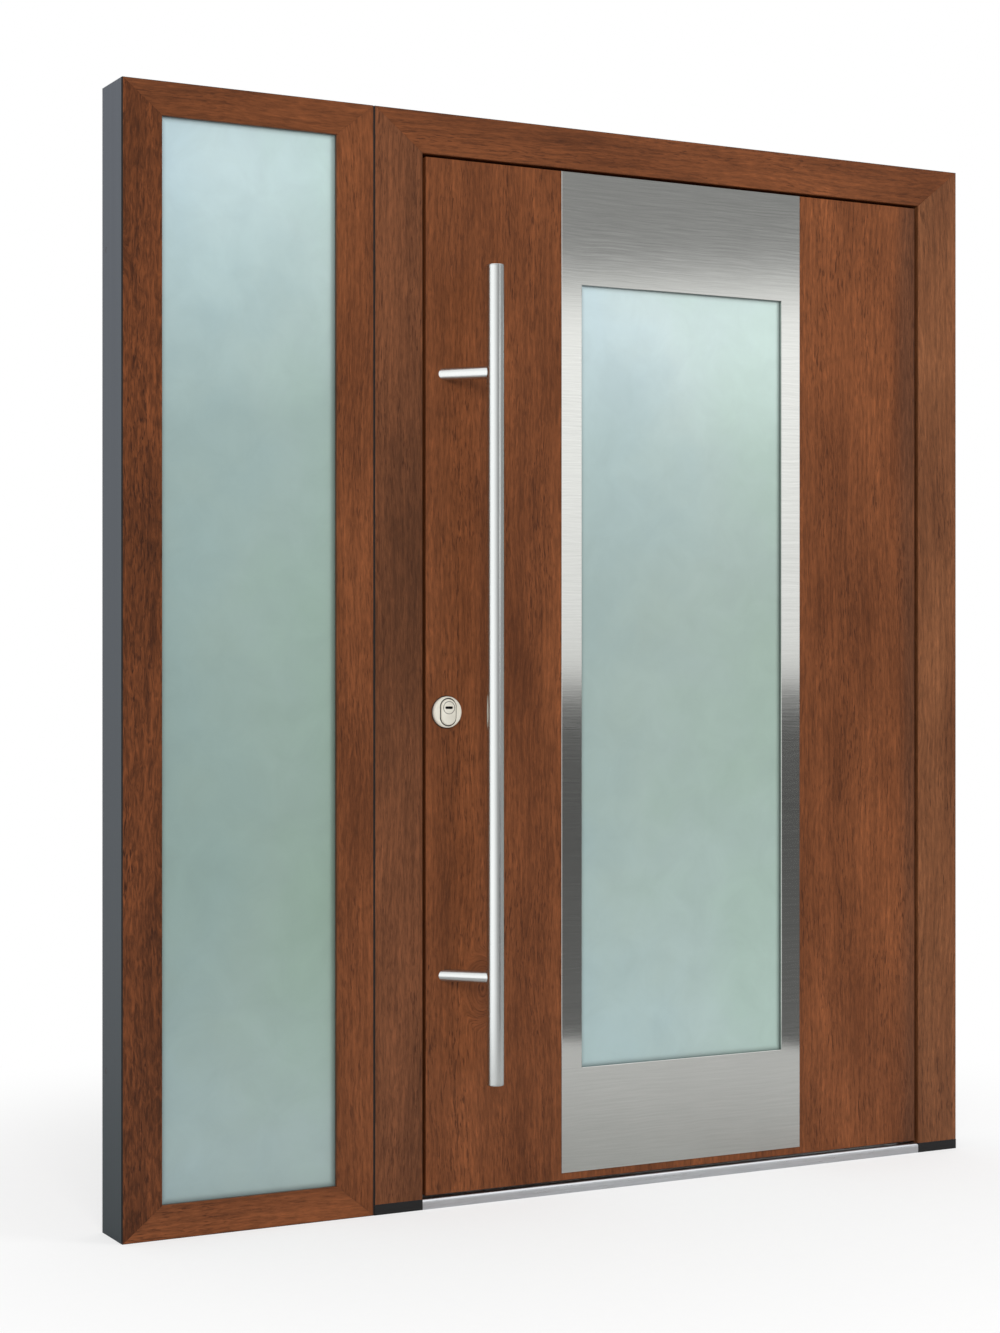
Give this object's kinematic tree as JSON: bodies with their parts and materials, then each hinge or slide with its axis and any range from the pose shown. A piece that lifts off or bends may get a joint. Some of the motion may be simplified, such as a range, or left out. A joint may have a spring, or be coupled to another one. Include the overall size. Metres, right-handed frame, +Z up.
{
  "type": "exterior door",
  "caption": "Wood-decor entrance door with a frosted glazed sidelight, brushed steel plate with a tall glass panel, long vertical pull bar and an inward-opening leaf.",
  "frame": {"origin": "on the floor under the middle of the overall width, in the middle of the frame depth", "axes": "+Z up, -Y out of the outside face, +X to the right as seen from outside; hinges on +X, the leaf opens towards +Y"},
  "size_m": [1.88, 0.2615, 2.1],
  "materials": {
    "decor": "satin wood-decor foil",
    "frame_side": "matt anthracite",
    "steel": "brushed",
    "steel_tube": "satin",
    "aluminium": "anodised",
    "frosted_glass": "frosted",
    "clear_glass": "clear",
    "rubber": "matt black",
    "black_plastic": "matt black",
    "foam": "insulating foam",
    "spacer_bar": "matt dark"
  },
  "bodies": {
    "frame": {"sidelight_left_stile": "decor", "sidelight_right_stile": "decor", "sidelight_top_rail": "decor", "sidelight_bottom_rail": "decor", "sidelight_outer_gasket": "rubber", "sidelight_outer_pane": "frosted_glass", "sidelight_spacer": "spacer_bar", "sidelight_inner_pane": "clear_glass", "sidelight_glazing_beads": "decor", "coupling_strip": "black_plastic", "door_left_jamb": "decor", "door_right_jamb": "decor", "door_head": "decor", "threshold_rail": "aluminium", "threshold_base": "black_plastic", "threshold_end_blocks": "black_plastic", "frame_seal": "rubber", "strike_plates": "steel", "hinge_frame_parts": "steel_tube"},
    "leaf": {"leaf_lock_stile": "decor", "leaf_hinge_stile": "decor", "leaf_top_rail": "decor", "leaf_bottom_rail": "decor", "leaf_outer_sheet": "decor", "leaf_core": "foam", "leaf_inner_sheet": "decor", "leaf_infill_beads": "decor", "steel_plate": "steel", "door_outer_gasket": "rubber", "door_outer_pane": "frosted_glass", "door_spacer": "spacer_bar", "door_inner_pane": "clear_glass", "door_glass_trim": "decor", "pull_bar": "steel_tube", "pull_bar_caps": "steel_tube", "pull_upper_support": "steel_tube", "pull_lower_support": "steel_tube", "outer_rosette": "steel_tube", "lock_cylinder": "steel_tube", "inner_escutcheon": "steel_tube", "inner_lever": "steel_tube", "lock_faceplate": "steel", "lock_bolts": "steel_tube", "hinge_leaf_parts": "steel_tube"}
  },
  "joints": [
    {"name": "leaf_hinge", "type": "hinge", "parent": "frame", "child": "leaf", "pos_m": [0.85, 0.07, 1], "axis": [0, 0, -1], "range_deg": [0, 95]}
  ]
}
